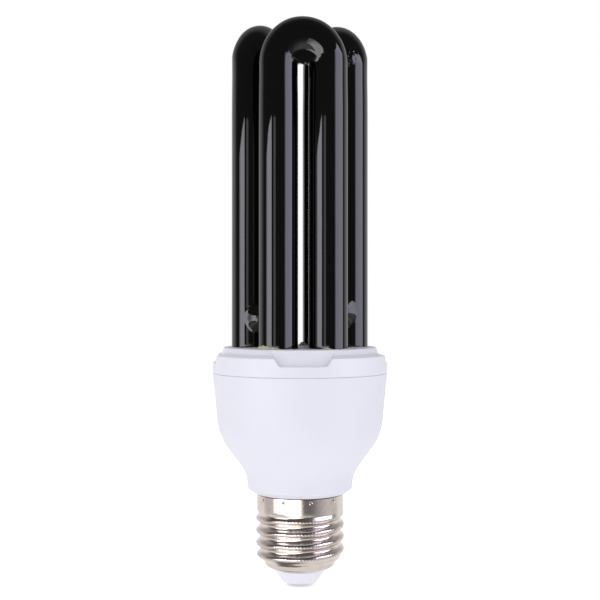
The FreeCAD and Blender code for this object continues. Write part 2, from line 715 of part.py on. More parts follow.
def drive_toroid():
    """Ferrite ring of the drive transformer, lying flat on its windings."""
    _, middle = toroid_levels()
    foot = middle - TOROID_HEIGHT / 2
    ring = Part.makeCylinder(TOROID_OUTER / 2, TOROID_HEIGHT, Vector(0, 0, foot))
    hole = Part.makeCylinder(TOROID_INNER / 2, TOROID_HEIGHT, Vector(0, 0, foot))
    return hung(ring.cut(hole), TOROID_PLACE)


def toroid_windings():
    """Single turns of wire spaced round the drive toroid."""
    loop, middle = toroid_levels()
    centre = (TOROID_OUTER + TOROID_INNER) / 4
    turn = Part.makeTorus(loop, TOROID_WIRE / 2, Vector(centre, 0, middle), Vector(0, 1, 0))
    turns = [turned(turn, k * 360 / TOROID_LOOP_COUNT) for k in range(TOROID_LOOP_COUNT)]
    return hung(Part.makeCompound(turns), TOROID_PLACE)


def transistors():
    """Two power transistors standing on three pins each."""
    depth, width, height = TRANSISTOR_SIZE
    body = box(depth, width, height, TRANSISTOR_STANDOFF)
    hole_level = TRANSISTOR_STANDOFF + height - TRANSISTOR_HOLE
    hole = Part.makeCylinder(TRANSISTOR_HOLE / 2, 2 * depth, Vector(-depth, 0, hole_level), Vector(1, 0, 0))
    pin = box(LEAD_DIAMETER, LEAD_DIAMETER, TRANSISTOR_STANDOFF + LEAD_DIAMETER)
    pins = [moved(pin, 0, k * TRANSISTOR_PIN_PITCH) for k in (-1, 0, 1)]
    part = body.cut(hole).fuse(pins).removeSplitter()
    return Part.makeCompound([hung(part, place) for place in TRANSISTOR_PLACES])


def axial_part(size):
    """Round body standing on end, with one lead straight to the board and the other bent over its top."""
    diameter, length = size
    body = revolved(
        [
            (0, PART_LIFT),
            (diameter / 2, PART_LIFT, diameter / 8),
            (diameter / 2, PART_LIFT + length, diameter / 8),
            (0, PART_LIFT + length),
        ]
    )
    straight = Part.makeCylinder(LEAD_DIAMETER / 2, PART_LIFT + LEAD_DIAMETER)
    arch = PART_LIFT + length + 2 * LEAD_DIAMETER
    over = wire_run(
        [
            Vector(0, 0, PART_LIFT + length - LEAD_DIAMETER),
            Vector(0, 0, arch),
            Vector(0, AXIAL_LEAD_PITCH, arch),
            Vector(0, AXIAL_LEAD_PITCH, 0),
        ],
        LEAD_DIAMETER,
        LEAD_DIAMETER,
    )
    return body.fuse([straight, over]).removeSplitter()


def axial_group(size, places):
    """Axial parts of one kind at their places under the board."""
    part = axial_part(size)
    return Part.makeCompound([hung(part, place) for place in places])


def film_capacitor(size):
    """Dipped film capacitor with rounded edges on two short leads."""
    width, depth, height = size
    body = box(width, depth, height, PART_LIFT)
    body = body.makeFillet(FILM_ROUNDING, body.Edges)
    lead = Part.makeCylinder(LEAD_DIAMETER / 2, PART_LIFT + height / 2)
    pitch = width / 4
    return body.fuse([moved(lead, pitch, 0), moved(lead, -pitch, 0)]).removeSplitter()


def film_capacitors():
    """Two small film capacitors of the supply."""
    return Part.makeCompound([hung(film_capacitor(FILM_SIZE), place) for place in FILM_PLACES])


def filament_points(leg):
    """For each lead of an electrode leg: where it leaves the pinch, and its post's place on the board."""
    place = leg_place(*leg)
    outward = Vector(place).normalize()
    across = Vector(-outward.y, outward.x, 0)
    for side in (-1, 1):
        start = place + across * (side * POST_SPREAD)
        yield start, start - outward * POST_INSET, outward


def wrap_posts():
    """Four square posts on the board that the tube's leads are wound to."""
    post = box(POST_SIDE, POST_SIDE, POST_HEIGHT, BOARD_TOP)
    posts = []
    for leg in ELECTRODE_LEGS:
        for _, place, outward in filament_points(leg):
            squared = turned(post, math.degrees(math.atan2(outward.y, outward.x)))
            posts.append(moved(squared, place.x, place.y))
    return Part.makeCompound(posts)


def tube_leads():
    """Four bare leads from the pinched ends across to the posts."""
    leads = []
    for leg in ELECTRODE_LEGS:
        for start, place, outward in filament_points(leg):
            level = PINCH_FOOT - FILAMENT_LEAD_DROP
            end = place + outward * (POST_SIDE / 2 + PIN_CLEARANCE)
            route = [
                Vector(start.x, start.y, PINCH_FOOT),
                Vector(start.x, start.y, level),
                Vector(end.x, end.y, level),
            ]
            leads.append(wire_run(route, FILAMENT_LEAD_DIAMETER, FILAMENT_LEAD_BEND))
    return Part.makeCompound(leads)


def contact_lead():
    """Insulated lead from the board down the neck to the centre contact's head."""
    x, y = (share * BOARD_RADIUS for share in CONTACT_LEAD_PLACE)
    head = SHELL_LIP + INSULATOR_PLUG + CONTACT_HEAD_HEIGHT
    route = [
        Vector(x, y, BOARD_SEAT),
        Vector(x, y, HOUSING_FOOT),
        Vector(0, 0, COLLAR_FOOT - COLLAR_RUNOUT),
        Vector(0, 0, head),
    ]
    return wire_run(route, WIRE_DIAMETER, WIRE_BEND)


def shell_lead():
    """Insulated lead from the board down the neck, bent out to the screw shell below the housing's spigot."""
    angle = math.radians(SHELL_LEAD_ANGLE)
    outward = Vector(math.cos(angle), math.sin(angle), 0)
    inner = outward * (NECK_BORE - WIRE_DIAMETER / 2 - SHELL_LEAD_CLEARANCE)
    outer = outward * (THREAD_ROOT - SHEET - WIRE_DIAMETER / 2 - CAP_CLEARANCE)
    route = [
        inner + UP * BOARD_SEAT,
        inner + UP * (COLLAR_FOOT - WIRE_DIAMETER),
        outer + UP * (COLLAR_FOOT - 2 * COLLAR_RUNOUT),
    ]
    return wire_run(route, WIRE_DIAMETER, WIRE_BEND)


PIECES = {
    "discharge_tube": discharge_tube,
    "tube_cement": tube_cement,
    "tube_cover": tube_cover,
    "ballast_housing": ballast_housing,
    "screw_shell": screw_shell,
    "cap_insulator": cap_insulator,
    "centre_contact": centre_contact,
    "circuit_board": circuit_board,
    "smoothing_capacitor": smoothing_capacitor,
    "choke_core": choke_core,
    "choke_bobbin": choke_bobbin,
    "choke_winding": choke_winding,
    "drive_toroid": drive_toroid,
    "toroid_windings": toroid_windings,
    "transistors": transistors,
    "rectifier_diodes": lambda: axial_group(DIODE_SIZE, DIODE_PLACES),
    "resistors": lambda: axial_group(RESISTOR_SIZE, RESISTOR_PLACES),
    "trigger_diac": lambda: axial_group(DIAC_SIZE, [DIAC_PLACE]),
    "fuse_resistor": lambda: axial_group(FUSE_SIZE, [FUSE_PLACE]),
    "film_capacitors": film_capacitors,
    "resonant_capacitor": lambda: hung(film_capacitor(RESONANT_SIZE), RESONANT_PLACE),
    "wrap_posts": wrap_posts,
    "tube_leads": tube_leads,
    "shell_lead": shell_lead,
    "contact_lead": contact_lead,
}

os.makedirs("parts", exist_ok=True)
for node, build in PIECES.items():
    build().exportStep(f"parts/{node}.step")
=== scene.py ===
import math

import bpy
import numpy as np
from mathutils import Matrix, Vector


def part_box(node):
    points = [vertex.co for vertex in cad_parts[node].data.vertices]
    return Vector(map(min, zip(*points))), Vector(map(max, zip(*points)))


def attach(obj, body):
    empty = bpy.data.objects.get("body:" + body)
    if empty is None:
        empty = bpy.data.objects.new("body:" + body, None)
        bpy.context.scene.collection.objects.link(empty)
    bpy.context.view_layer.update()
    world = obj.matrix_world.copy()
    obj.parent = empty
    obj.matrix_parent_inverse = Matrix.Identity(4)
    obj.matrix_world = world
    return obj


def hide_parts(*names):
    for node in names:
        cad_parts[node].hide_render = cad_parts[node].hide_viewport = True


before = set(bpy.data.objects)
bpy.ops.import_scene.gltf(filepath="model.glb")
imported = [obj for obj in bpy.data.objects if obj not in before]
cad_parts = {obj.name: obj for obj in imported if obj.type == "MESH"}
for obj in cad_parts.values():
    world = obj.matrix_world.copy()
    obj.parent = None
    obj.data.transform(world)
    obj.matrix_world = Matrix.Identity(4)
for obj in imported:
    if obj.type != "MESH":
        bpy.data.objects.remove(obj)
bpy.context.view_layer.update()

MM = 0.001

# Levels that come from the part itself
COVER_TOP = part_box("tube_cover")[1].z
REAR_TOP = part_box("discharge_tube")[1].z
SHELL_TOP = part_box("screw_shell")[1].z
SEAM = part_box("ballast_housing")[1].z

# Glass tube, with the sizes of the solid part
TUBE_RADIUS = 5.7 * MM
LEG_SPACING = 14.4 * MM
U_OFFSET = 12.76 * MM
TUBE_TURN = 2.0
U_ANGLES = {"front": 0.0, "right": 120.0, "left": 240.0}
FRONT_U_DROP = 1.7 * MM
BEND_RISE = 13.9 * MM
LEG_FOOT = COVER_TOP - 8.0 * MM
LEG_FOOT_ROUNDING = 2.5 * MM
WAIST_DEPTH = 0.1 * MM
WAIST_BELOW_BEND = 2.5 * MM
WAIST_LENGTH = 6.0 * MM
WAIST_ZONE = 4 * WAIST_LENGTH
PINCH_SIZE = (2.2 * MM, 8.0 * MM, 4.7 * MM)
PINCH_LENGTH = 2.2 * MM
ELECTRODE_LEGS = (("right", 1), ("left", -1))

# Rings of the tube's mesh
RING_POINTS = 96
RING = np.linspace(0, 2 * math.pi, RING_POINTS, endpoint=False)
FOOT_ROWS = 7
BRIDGE_ROWS = 46
STRAIGHT_ROWS = 16
WAIST_ROWS = 26
BEND_ROWS = 96

# Glass gathered in the crotch of a bend, with a lip below its front
CROTCH_FILL = 1.35 * MM
LATE_BEND = 3.4 * MM
LIP_CREASE = math.radians(128.0)
LIP_FACE_SHARE = 0.55
LIP_TAPER = 0.4 * MM
LIP_DROP = 1.0 * MM
LIP_RUNOUT = (0.0, 0.3)

# Folds on the shoulder of one U, in degrees round the tube and along the bend
FOLDED_U = "right"
FOLD_PLACE = (36.0, 12.0)
FOLD_SPREAD = (19.0, 9.0)
FOLD_PERIOD = (17.0, 8.5)
FOLD_MIX = 1.7
FOLD_HEIGHT = 0.13 * MM

# Finer wrinkles on the folds, about a point of the part
WRINKLE_PLACE = (13.4 * MM, -5.4 * MM, 156.6 * MM)
WRINKLE_EDGE = (2.0 * MM, 3.8 * MM)
WRINKLE_SCALE = 1000.0
WRINKLE_DEPTH = 0.5 * MM

# Slow waves of the bends, in radians to the millimetre
RIPPLE_HEIGHT = 0.06 * MM
RIPPLE_START = REAR_TOP - 3 * BEND_RISE
RIPPLE_FULL = REAR_TOP - BEND_RISE
RIPPLE_X, RIPPLE_X_BY_Z = 0.45, 0.31
RIPPLE_Y, RIPPLE_Y_BY_Z, RIPPLE_Y_START = 0.38, -0.27, 1.3
RIPPLE_Z, RIPPLE_Z_START = 0.21, 0.5

# Fused necks between neighbouring legs, with their heights above the cover
BRIDGES = (
    (("front", -1), ("left", 1), 8.8 * MM),
    (("front", 1), ("right", -1), 10.5 * MM),
)
BRIDGE_CORE = 1.9 * MM
BRIDGE_FLARE = 4.9 * MM
BRIDGE_OVERLAP = 0.25 * MM
BRIDGE_ZONE = (COVER_TOP + 3.0 * MM, COVER_TOP + 16.0 * MM)

# Cement at the feet of the legs
SOCKET_RADIUS = 5.95 * MM
SOCKET_FOOT = COVER_TOP - 6.4 * MM
CEMENT_WIDTH = 0.45 * MM
CEMENT_HEIGHT = 0.4 * MM
CEMENT_ROWS = 9
CEMENT_POINTS = 96
CEMENT_MEAN = 0.26
CEMENT_LEAST = 0.08

# Waves of a bead: count round the leg, height, and shift from leg to leg
CEMENT_WAVES = ((2, 0.13, 1.0), (5, 0.1, 2.3), (11, 0.06, 1.7))
CEMENT_SHIFT = 1.9

# Lumps on a bead: angle, spread and growth, with a grain on each
CEMENT_LUMPS = {
    ("front", -1): ((-138.0, 30.0, 2.2), (-100.0, 12.0, 0.7)),
    ("front", 1): ((-97.0, 9.0, 1.5),),
    ("right", 1): ((-164.0, 20.0, 2.4), (-122.0, 14.0, 1.4)),
}
LUMP_GRAINS = 23
LUMP_GRAIN_HEIGHT = 0.15

# Colours and gloss of the pieces that show
GLASS_COLOURS = (0.0013, 0.0012, 0.0014), (0.0024, 0.0021, 0.0028)
CEMENT_COLOURS = (0.30, 0.31, 0.21), (0.55, 0.55, 0.42)
WHITE_COLOURS = (0.775, 0.775, 0.865), (0.75, 0.745, 0.84)
WHITE_GLOSS = (0.46, 0.56)
INSULATOR_COLOURS = (0.83, 0.83, 0.92), (0.79, 0.79, 0.88)
INSULATOR_GLOSS = (0.18, 0.28)
NICKEL_COLOURS = (0.76, 0.675, 0.625), (0.65, 0.57, 0.52)

# Painted shade in the cover's seam and in the joint between the housing and the collar
SEAM_SHADE = SEAM + 0.05 * MM
JOINT_SHADE = SHELL_TOP + 0.42 * MM
SHADE_EDGE = 0.02 * MM
PAINTED_SHADE_COLOUR = (0.05, 0.045, 0.045)

# Tool marks on the thread's crests, and painted shade in the collar's stake dimples
THREAD_RADIUS = 13.1 * MM
THREAD_TOP = SHELL_TOP - 5.4 * MM
THREAD_FADE = 1.0 * MM
CREST_EDGE = (THREAD_RADIUS - 0.6 * MM, THREAD_RADIUS - 0.2 * MM)
MARK_SHADE = (0.28, 0.245, 0.225)
COLLAR_RADIUS = 12.85 * MM
PIT_EDGE = (COLLAR_RADIUS - 0.14 * MM, COLLAR_RADIUS - 0.05 * MM)
STAKE_EDGE = (SHELL_TOP - 2.4 * MM, SHELL_TOP - 2.2 * MM)
STAKE_PAINTED_SHADE = (0.10, 0.09, 0.085)

# Camera, turned a little from the part's front
CAMERA_AZIMUTH = -2.2
CAMERA_DISTANCE = 330.0 * MM
CAMERA_HEIGHT = 84.2 * MM
CAMERA_LENS = 66.3
SENSOR_WIDTH = 36.0
CLIP_START = 0.01

# Floor
FLOOR_DROP = 0.5 * MM
FLOOR_RADIUS = 0.8
FLOOR_POINTS = 96
FLOOR_COLOURS = (0.9, 0.9, 0.9), (0.88, 0.88, 0.88)
FLOOR_GLOW = 0.36

# Light of the room on matt faces from left to right, and on gloss by the way it looks
LIT_ROOM = (1.05, 0.8)
FRONT_TO_BACK = (0.02, 0.95)
BACK_EDGE = (0.0, 0.42)
BACK_FADE = (1.0, 0.4)
BACK_FADE_EDGE = (0.1, 0.55)
LOW_FRONT_TO_SIDE = (0.2, 0.72)
LOW_SIDE_EDGE = (0.25, 0.9)
LOW_EDGE = (-0.16, -0.08)
FLOOR_TO_FRONT = (0.95, 0.1)
FLOOR_EDGE = (-0.55, -0.25)
DARK_SPOT = (-0.14, 0.42, -0.9)
DARK_SPOT_EDGE = (0.955, 0.985)
DARK_SPOT_LEVEL = 0.15

# Cards that show in gloss: azimuths from the camera to the right, distances and heights
CARD_WATTS = 4.0
WHITE = (1.0, 1.0, 1.0)
RIGHT_DISTANCE = 0.6
RIGHT_FIRM = 90
RIGHT_SOFT = (37, 41, 44)
RIGHT_FOOT = 0.02
RIGHT_RADIANCE = 3.1
RIGHT_TINT = (0.81, 0.81, 1.0)
TIP_STEPS = 7
TIP_FOOT = 0.33
TIP_HEIGHT = 0.27
TIP_AZIMUTH = 72
LEFT_FIRM = (-37, 0.6)
LEFT_SOFT = ((-63, 0.8), (-67, 0.84), (-72, 0.88))
LEFT_HEIGHTS = (-0.15, 0.235)
LEFT_RADIANCE = 3.9
LEFT_TINT = (0.94, 0.93, 1.0)
STRIP_ENDS = ((-26, 0.7), (-14, 0.7))
STRIP_HEIGHTS = (0.02, 0.25)
STRIP_RADIANCE = 0.9
FAR_FIRM = (-38, 6.0)
FAR_SOFT = ((-5, 6.0), (0, 6.0), (5, 6.0))
FAR_HEIGHTS = (-3.0, -0.36)
FAR_RADIANCE = 3.3


def new_material(name):
    """Empty node material with its shader and a place in the part's own frame."""
    material = bpy.data.materials.new(name)
    material.use_nodes = True
    tree = material.node_tree
    shader = tree.nodes["Principled BSDF"]
    place = tree.nodes.new("ShaderNodeTexCoord").outputs["Object"]
    return material, tree, shader, place


def noise_node(tree, place, scale, detail=3.0):
    """Noise over the surface, with scale in features to the metre."""
    node = tree.nodes.new("ShaderNodeTexNoise")
    node.inputs["Scale"].default_value = scale
    node.inputs["Detail"].default_value = detail
    tree.links.new(place, node.inputs["Vector"])
    return node.outputs["Fac"]


def mixed_colour(tree, shader, factor, first, second):
    """Base colour that goes from the first colour to the second with a factor."""
    mix = tree.nodes.new("ShaderNodeMix")
    mix.data_type = "RGBA"
    mix.inputs["A"].default_value = (*first, 1.0)
    mix.inputs["B"].default_value = (*second, 1.0)
    tree.links.new(factor, mix.inputs["Factor"])
    tree.links.new(mix.outputs["Result"], shader.inputs["Base Color"])


def ranged(tree, factor, low, high, start=0.3, end=0.7):
    """A factor's middle range spread between two values."""
    node = tree.nodes.new("ShaderNodeMapRange")
    node.inputs["From Min"].default_value = start
    node.inputs["From Max"].default_value = end
    node.inputs["To Min"].default_value = low
    node.inputs["To Max"].default_value = high
    tree.links.new(factor, node.inputs["Value"])
    return node.outputs["Result"]


def lay_shade_and_wear(tree, shader, factor, colour):
    """Lays a colour over the base colour where the factor is 1: painted shade, and the wear of
    tool marks.
    """
    clean = shader.inputs["Base Color"].links[0].from_socket
    mix = tree.nodes.new("ShaderNodeMix")
    mix.data_type = "RGBA"
    mix.inputs["B"].default_value = (*colour, 1.0)
    tree.links.new(factor, mix.inputs["Factor"])
    tree.links.new(clean, mix.inputs["A"])
    tree.links.new(mix.outputs["Result"], shader.inputs["Base Color"])


def combined(tree, operation, first, second):
    """Two factors put together by a math operation."""
    node = tree.nodes.new("ShaderNodeMath")
    node.operation = operation
    tree.links.new(first, node.inputs[0])
    tree.links.new(second, node.inputs[1])
    return node.outputs["Value"]


def compared(tree, operation, place, vector):
    """Number that a vector operation gives for a place and a fixed vector."""
    node = tree.nodes.new("ShaderNodeVectorMath")
    node.operation = operation
    node.inputs[1].default_value = vector
    tree.links.new(place, node.inputs[0])
    return node.outputs["Value"]


def axes_of(tree, place):
    """X, Y and Z of a place as separate factors."""
    split = tree.nodes.new("ShaderNodeSeparateXYZ")
    tree.links.new(place, split.inputs["Vector"])
    return split.outputs["X"], split.outputs["Y"], split.outputs["Z"]


def joined_axes(tree, x, y):
    """Place in a plane from two factors."""
    node = tree.nodes.new("ShaderNodeCombineXYZ")
    tree.links.new(x, node.inputs["X"])
    tree.links.new(y, node.inputs["Y"])
    return node.outputs["Vector"]


def add_bump(tree, shader, height, strength, distance, under=None):
    """Bump on the shader, over another bump where one is given."""
    node = tree.nodes.new("ShaderNodeBump")
    node.inputs["Strength"].default_value = strength
    node.inputs["Distance"].default_value = distance
    tree.links.new(height, node.inputs["Height"])
    if under is not None:
        tree.links.new(under, node.inputs["Normal"])
    tree.links.new(node.outputs["Normal"], shader.inputs["Normal"])
    return node.outputs["Normal"]


def black_glass():
    """Violet-black filter glass: drawn with a slow wave, polished, with a little dust."""
    material, tree, shader, place = new_material("black_glass")
    mixed_colour(tree, shader, noise_node(tree, place, scale=120.0), *GLASS_COLOURS)
    dust = noise_node(tree, place, scale=5200.0, detail=1.0)
    gloss = ranged(tree, dust, low=0.025, high=0.13, start=0.62, end=0.8)
    tree.links.new(gloss, shader.inputs["Roughness"])
    shader.inputs["IOR"].default_value = 1.5
    wave = noise_node(tree, place, scale=70.0, detail=1.0)
    slow = add_bump(tree, shader, wave, strength=0.05, distance=1.0 * MM)
    apart = compared(tree, "DISTANCE", place, WRINKLE_PLACE)
    patch = ranged(tree, apart, 1.0, 0.0, *WRINKLE_EDGE)
    fine = noise_node(tree, place, WRINKLE_SCALE, detail=1.0)
    wrinkles = combined(tree, "MULTIPLY", fine, patch)
    add_bump(tree, shader, wrinkles, strength=1.0, distance=WRINKLE_DEPTH, under=slow)
    return material


def moulded_plastic(name, colours, gloss, grain, shade_level=None):
    """White plastic with faint clouds, a satin grain and sink marks, with painted shade below a
    level.
    """
    material, tree, shader, place = new_material(name)
    mixed_colour(tree, shader, noise_node(tree, place, scale=160.0), *colours)
    if shade_level is not None:
        # Painted shade: a dark band below the level, standing in for shade in the seam and the
        # joint
        z = axes_of(tree, place)[2]
        below = ranged(tree, z, 1.0, 0.0, shade_level - SHADE_EDGE, shade_level)
        lay_shade_and_wear(tree, shader, below, PAINTED_SHADE_COLOUR)
    patches = noise_node(tree, place, scale=900.0)
    tree.links.new(ranged(tree, patches, *gloss), shader.inputs["Roughness"])
    shader.inputs["IOR"].default_value = 1.49
    sinks = noise_node(tree, place, scale=55.0, detail=1.0)
    slow = add_bump(tree, shader, sinks, strength=0.05, distance=0.6 * MM)
    satin = noise_node(tree, place, scale=3800.0)
    add_bump(tree, shader, satin, strength=grain, distance=0.05 * MM, under=slow)
    return material


def tool_marks(tree, x, y, z):
    """Diagonal waves on the unrolled wall of the cap."""
    around = tree.nodes.new("ShaderNodeMath")
    around.operation = "MULTIPLY"
    around.inputs[1].default_value = THREAD_RADIUS
    tree.links.new(combined(tree, "ARCTAN2", y, x), around.inputs[0])
    marks = tree.nodes.new("ShaderNodeTexWave")
    marks.wave_type = "BANDS"
    marks.bands_direction = "DIAGONAL"
    marks.inputs["Scale"].default_value = 630.0
    marks.inputs["Distortion"].default_value = 1.2
    marks.inputs["Detail"].default_value = 2.0
    unrolled = joined_axes(tree, around.outputs["Value"], z)
    tree.links.new(unrolled, marks.inputs["Vector"])
    return marks.outputs["Fac"]


def nickel():
    """Rolled nickel plate: warm, softly dented, with tool marks on the crests of the thread and
    painted shade in the stake dimples.
    """
    material, tree, shader, place = new_material("nickel")
    shader.inputs["Metallic"].default_value = 1.0
    x, y, z = axes_of(tree, place)
    length = tree.nodes.new("ShaderNodeVectorMath")
    length.operation = "LENGTH"
    tree.links.new(joined_axes(tree, x, y), length.inputs[0])
    radius = length.outputs["Value"]
    crest = ranged(tree, radius, 0.0, 1.0, *CREST_EDGE)
    thread = ranged(tree, z, 1.0, 0.0, THREAD_TOP - THREAD_FADE, THREAD_TOP)
    on_crest = combined(tree, "MULTIPLY", crest, thread)
    tooled = combined(tree, "MULTIPLY", tool_marks(tree, x, y, z), on_crest)
    clouds = noise_node(tree, place, scale=420.0)
    mixed_colour(tree, shader, clouds, *NICKEL_COLOURS)
    # Painted shade in the stake dimples, where the wall lies below the collar's surface
    pit = ranged(tree, radius, 0.8, 0.0, *PIT_EDGE)
    staked = ranged(tree, z, 0.0, 1.0, *STAKE_EDGE)
    lay_shade_and_wear(tree, shader, combined(tree, "MULTIPLY", pit, staked), STAKE_PAINTED_SHADE)
    worn = ranged(tree, tooled, low=0.0, high=0.6, start=0.5, end=0.8)
    lay_shade_and_wear(tree, shader, worn, MARK_SHADE)
    tree.links.new(ranged(tree, clouds, low=0.14, high=0.25), shader.inputs["Roughness"])
    dents = noise_node(tree, place, scale=300.0)
    soft = add_bump(tree, shader, dents, strength=0.12, distance=0.3 * MM)
    add_bump(tree, shader, tooled, strength=0.7, distance=0.02 * MM, under=soft)
    return material


def cement():
    """Grainy yellow-white lamp cement."""
    material, tree, shader, place = new_material("cement")
    mixed_colour(tree, shader, noise_node(tree, place, scale=1500.0), *CEMENT_COLOURS)
    shader.inputs["Roughness"].default_value = 0.85
    grains = noise_node(tree, place, scale=2600.0)
    add_bump(tree, shader, grains, strength=0.5, distance=0.2 * MM)
    return material


def worked(name, light, dark, roughness, metallic=0.0, grain=1800.0):
    """Finish of an inner part: two near colours, uneven gloss and a fine grain."""
    material, tree, shader, place = new_material(name)
    grains = noise_node(tree, place, grain)
    mixed_colour(tree, shader, grains, light, dark)
    gloss = ranged(tree, grains, low=roughness * 0.8, high=roughness * 1.2)
    tree.links.new(gloss, shader.inputs["Roughness"])
    shader.inputs["Metallic"].default_value = metallic
    add_bump(tree, shader, grains, strength=0.15, distance=0.08 * MM)
    return material


def wound_copper():
    """Enamelled copper wire laid in turns, one above the next."""
    material, tree, shader, place = new_material("wound_copper")
    turns = tree.nodes.new("ShaderNodeTexWave")
    turns.wave_type = "BANDS"
    turns.bands_direction = "Z"
    turns.inputs["Scale"].default_value = 900.0
    tree.links.new(place, turns.inputs["Vector"])
    wire = turns.outputs["Fac"]
    mixed_colour(tree, shader, wire, (0.30, 0.10, 0.035), (0.62, 0.25, 0.10))
    shader.inputs["Metallic"].default_value = 0.8
    shader.inputs["Roughness"].default_value = 0.3
    add_bump(tree, shader, wire, strength=0.8, distance=0.15 * MM)
    return material


def turned(name, x, y):
    """Plan of a point of one U, turned from the U's own frame to the part's."""
    angle = math.radians(U_ANGLES[name] + TUBE_TURN)
    across = x * math.cos(angle) - y * math.sin(angle)
    along = x * math.sin(angle) + y * math.cos(angle)
    return across, along


def leg_place(name, side):
    """Axis of one leg in plan."""
    return np.array(turned(name, side * LEG_SPACING / 2, -U_OFFSET))


def smooth_step(values, start, end):
    """0 before start, 1 after end, with a smooth rise between."""
    share = np.clip((values - start) / (end - start), 0.0, 1.0)
    return share**2 * (3 - 2 * share)


def grid_faces(rows, columns, first=0, closed_rows=False):
    """Quads of a grid that closes round its columns, and round its rows too where asked."""
    faces = []
    for i in range(rows if closed_rows else rows - 1):
        lower = first + i * columns
        upper = first + (i + 1) % rows * columns
        for j in range(columns):
            k = (j + 1) % columns
            faces.append((lower + j, lower + k, upper + k, upper + j))
    return faces


def make_piece(name, points, faces, node, material):
    """Smooth mesh piece on the lamp's one body that stands for a node of the part."""
    mesh = bpy.data.meshes.new(name)
    mesh.from_pydata([tuple(p) for p in points], [], faces)
    mesh.validate()
    mesh.update()
    mesh.polygons.foreach_set("use_smooth", [True] * len(mesh.polygons))
    mesh.materials.append(material)
    piece = bpy.data.objects.new(name, mesh)
    bpy.context.scene.collection.objects.link(piece)
    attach(piece, "root")
    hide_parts(node)


def leg_rows(bend_level):
    """Levels and radii of a leg's rings from foot to bend, close together at a bridge."""
    turn = np.linspace(0, math.pi / 2, FOOT_ROWS)
    foot = LEG_FOOT + LEG_FOOT_ROUNDING * (1 - np.cos(turn))
    waist = bend_level - WAIST_ZONE
    joined = np.linspace(*BRIDGE_ZONE, BRIDGE_ROWS)
    straight = np.linspace(BRIDGE_ZONE[1], waist, STRAIGHT_ROWS)[1:]
    waisted = np.linspace(waist, bend_level, WAIST_ROWS)[1:]
    levels = np.concatenate((foot, joined, straight, waisted))
    radii = np.full(len(levels), TUBE_RADIUS)
    radii[:FOOT_ROWS] -= LEG_FOOT_ROUNDING * (1 - np.sin(turn))
    from_waist = (levels - bend_level + WAIST_BELOW_BEND) / WAIST_LENGTH
    radii -= WAIST_DEPTH * np.exp(-(from_waist**2))
    return levels, radii


def lip_section():
    """Lip round a bend's section: where it runs, its reach, depth and share of the drop."""
    inner_reach = LEG_SPACING / 2 - TUBE_RADIUS - CROTCH_FILL
    crease_reach = LEG_SPACING / 2 + TUBE_RADIUS * math.cos(LIP_CREASE)
    crease_depth = TUBE_RADIUS * math.sin(LIP_CREASE)
    past = np.clip((2 * math.pi - LIP_CREASE - RING) / (math.pi - LIP_CREASE), 0.0, 1.0)
    face = np.clip(past / LIP_FACE_SHARE, 0.0, 1.0)
    under = np.clip((past - LIP_FACE_SHARE) / (1 - LIP_FACE_SHARE), 0.0, 1.0)
    reach = crease_reach + (inner_reach - crease_reach) * face
    depth = -(crease_depth - LIP_TAPER * face) * (1 - under)
    return (past > 0) & (RING > math.pi), reach, depth, face * (1 - under)


def folds(sweep):
    """Height of a patch of small folds on a bend."""
    side = (np.degrees(RING) - FOLD_PLACE[0] + 180) % 360 - 180
    along = np.degrees(sweep) - FOLD_PLACE[1]
    patch = np.exp(-((side / FOLD_SPREAD[0]) ** 2) - (along / FOLD_SPREAD[1]) ** 2)
    first = 2 * math.pi * (side / FOLD_PERIOD[0] + along / (3 * FOLD_PERIOD[1]))
    second = 2 * math.pi * (along / FOLD_PERIOD[1] - side / (2 * FOLD_PERIOD[0]))
    waves = np.sin(first) + np.sin(second) + np.sin(first + FOLD_MIX * second)
    return FOLD_HEIGHT * patch * waves


def bend_grid(radius, folded):
    """Rings of a bend about its own middle: a stretched half torus with a filled crotch."""
    sweep = np.linspace(0, math.pi, BEND_ROWS)[1:-1, None]
    rise = np.sin(sweep)
    stretch = BEND_RISE / (LEG_SPACING / 2 + TUBE_RADIUS)
    section = radius + (TUBE_RADIUS - radius) * rise**2
    if folded:
        section = section + folds(sweep)
    inward = np.clip(-np.cos(RING), 0, 1) ** 3
    reach = LEG_SPACING / 2 + section * np.cos(RING) - CROTCH_FILL * rise * inward
    y = section * np.sin(RING)
    on_lip, lip_reach, lip_depth, drop = lip_section()
    lip = smooth_step(rise, *LIP_RUNOUT) * on_lip
    reach += (lip_reach - reach) * lip
    y += (lip_depth - y) * lip
    x = -reach * np.cos(sweep)
    outward = 1 + TUBE_RADIUS / (LEG_SPACING / 2) * np.cos(RING)
    late = LATE_BEND * np.sin(RING) ** 2 * np.minimum(outward, 1) * (1 - rise) ** 2
    z = stretch * reach * rise + late - LIP_DROP * drop * lip
    return np.stack((x, y, z), axis=-1)


def u_grid(name):
    """All rings of one U in the part's frame, up one leg, over the bend and down the other."""
    top = REAR_TOP - (FRONT_U_DROP if name == "front" else 0)
    bend_level = top - BEND_RISE
    levels, radii = leg_rows(bend_level)
    across = LEG_SPACING / 2 + radii[:, None] * np.cos(RING)
    depth = radii[:, None] * np.sin(RING)
    height = levels[:, None] + 0 * RING
    rising = np.stack((-across, depth, height), axis=-1)
    falling = np.stack((across, depth, height), axis=-1)[::-1]
    bend = bend_grid(radii[-1], name == FOLDED_U) + (0, 0, bend_level)
    grid = np.concatenate((rising, bend, falling))
    x, y = turned(name, grid[..., 0], grid[..., 1] - U_OFFSET)
    grid = np.stack((x, y, grid[..., 2]), axis=-1)
    rows = len(levels)
    return grid, {-1: slice(0, rows), 1: slice(len(grid) - rows, len(grid))}


